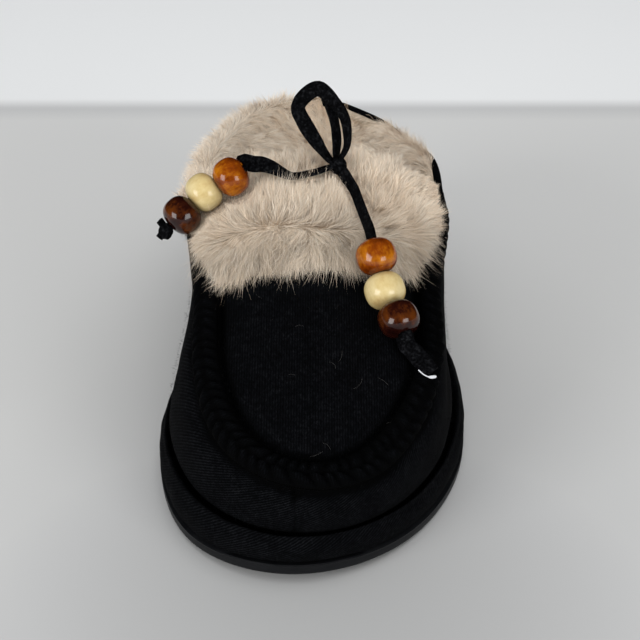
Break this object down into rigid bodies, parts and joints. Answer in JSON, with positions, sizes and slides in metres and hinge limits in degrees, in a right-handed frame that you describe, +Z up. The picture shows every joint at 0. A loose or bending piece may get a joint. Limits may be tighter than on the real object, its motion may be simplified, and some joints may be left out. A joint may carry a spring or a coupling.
{
  "type": "fur slipper",
  "caption": "Moccasin slipper of dark felt with a cream faux-fur flap and lining, a flat rubber sole and a suede bow whose tails carry wooden beads.",
  "frame": {"origin": "on the floor under the middle of the sole, at the centre of the slipper's footprint without its bow", "axes": "+Z up, -Y towards the toe, +X towards the wearer's outer side (the left foot's little toe)"},
  "size_m": [0.1005, 0.2495, 0.1119],
  "materials": {
    "felt": "brushed knitted felt, matte, with a short fuzz",
    "rubber": "satin moulded rubber",
    "fleece": "short napped fleece",
    "fur": "deep soft faux fur",
    "suede": "flat suede lace, matte",
    "amber_wood": "stained and glossy varnished",
    "cream_wood": "pale, glossy varnished",
    "brown_wood": "dark stained and glossy varnished"
  },
  "bodies": {
    "root": {"outsole": "rubber", "midsole_wrap": "felt", "insole": "fleece", "upper": "felt", "apron_seam": "felt", "fur_cuff": "fur", "fur_lining": "fur", "lace_knot": "suede", "lace_loop_tall": "suede", "lace_loop_low": "suede", "lace_tail_left": "suede", "lace_tail_right": "suede", "lace_end_knot": "suede", "bead_left_amber": "amber_wood", "bead_left_cream": "cream_wood", "bead_left_brown": "brown_wood", "bead_right_amber": "amber_wood", "bead_right_cream": "cream_wood", "bead_right_brown": "brown_wood"}
  },
  "joints": []
}
